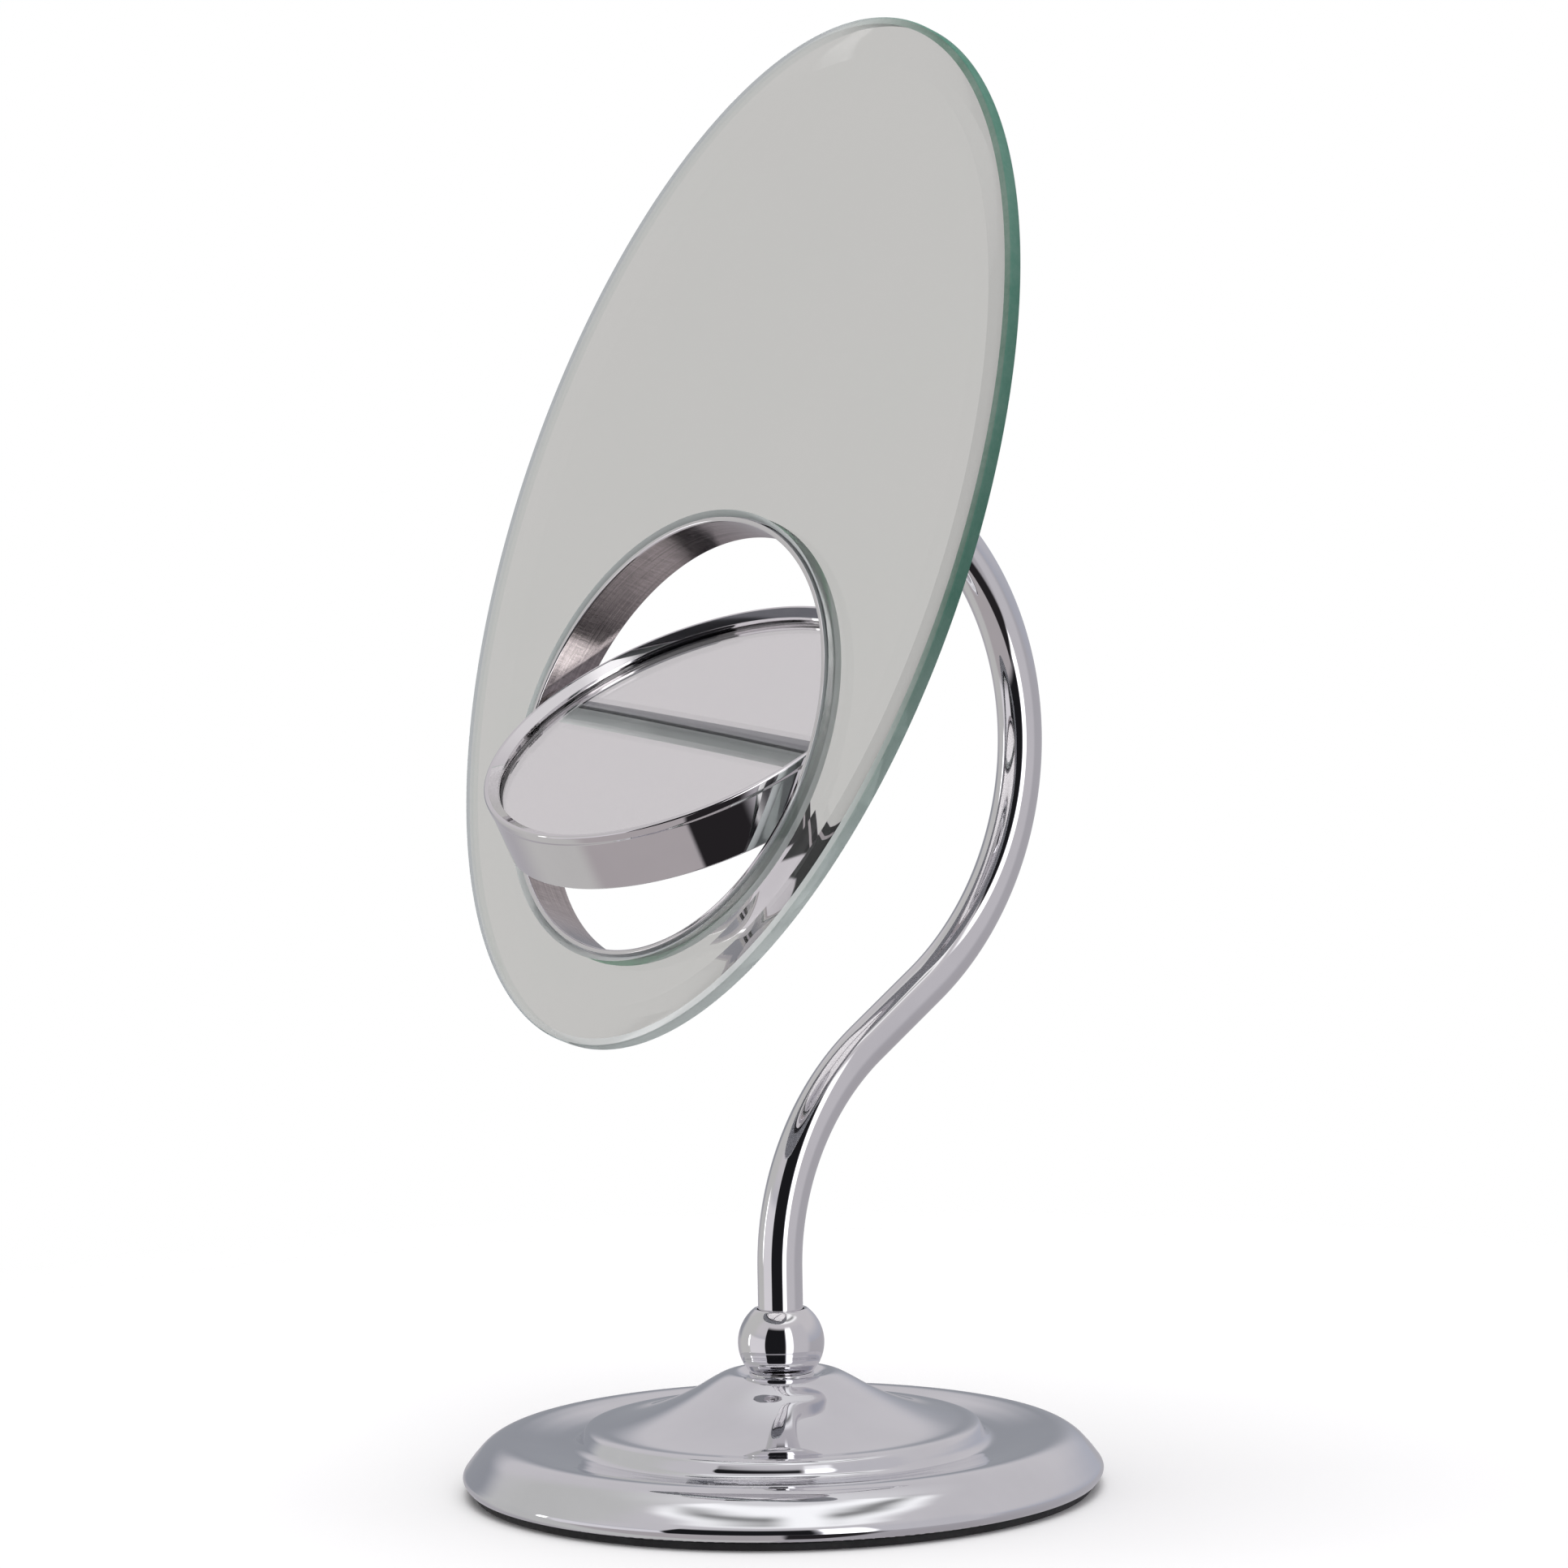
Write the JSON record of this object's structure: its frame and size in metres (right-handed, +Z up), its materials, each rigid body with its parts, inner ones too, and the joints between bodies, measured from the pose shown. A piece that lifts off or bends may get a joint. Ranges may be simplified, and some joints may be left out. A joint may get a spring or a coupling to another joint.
{
  "type": "countertop mirror",
  "caption": "Countertop mirror: tilting bevelled oval glass with a turning two-sided round mirror in its hole, on a bent tube stem and round weighted base.",
  "frame": {"origin": "centre of the flat underside of the base pad", "axes": "+Z up; the oval mirror faces -Y and leans back 22 degrees; the stem is bent in the plane X = 0 and bows towards +Y"},
  "size_m": [0.204, 0.1882, 0.4127],
  "materials": {
    "chrome": "polished chrome plate",
    "mirror": "silvered glass with a green polished edge",
    "backing_paint": "grey painted safety film",
    "steel": "zinc plated",
    "cast_iron": "as cast",
    "rubber": "matt black sheet",
    "foam_tape": "double sided foam tape",
    "nylon": "natural nylon",
    "plastic": "moulded black"
  },
  "bodies": {
    "stand": {"base_shell": "chrome", "base_pad": "rubber", "base_weight": "cast_iron", "base_spacer": "steel", "seat_ring": "chrome", "stud_washer": "steel", "stud_nut": "steel", "stem_stud": "steel", "stem_ball": "chrome", "stem_tube": "chrome", "stem_foot_plug": "steel", "stem_head": "chrome", "hinge_washer_left": "nylon", "hinge_washer_right": "nylon"},
    "oval_mirror": {"hinge_bracket": "chrome", "hinge_pad": "foam_tape", "hinge_bolt": "steel", "hinge_nut": "steel", "mirror_glass": "mirror", "mirror_backing": "backing_paint", "hole_ring": "chrome", "pivot_bush_left": "nylon", "pivot_bush_right": "nylon"},
    "round_mirror": {"insert_band": "chrome", "insert_glass_plain": "mirror", "insert_glass_magnifying": "mirror", "insert_core": "plastic", "pivot_pin_left": "steel", "pivot_pin_right": "steel"}
  },
  "joints": [
    {"name": "mirror_tilt", "type": "hinge", "parent": "stand", "child": "oval_mirror", "pos_m": [0, 0.01676, 0.29314], "axis": [1, 0, 0], "range_deg": [-38, 22]},
    {"name": "insert_turn", "type": "hinge", "parent": "oval_mirror", "child": "round_mirror", "pos_m": [0, -0.02722, 0.21257], "axis": [0.9962, -0.0326, -0.0808], "continuous": true}
  ]
}
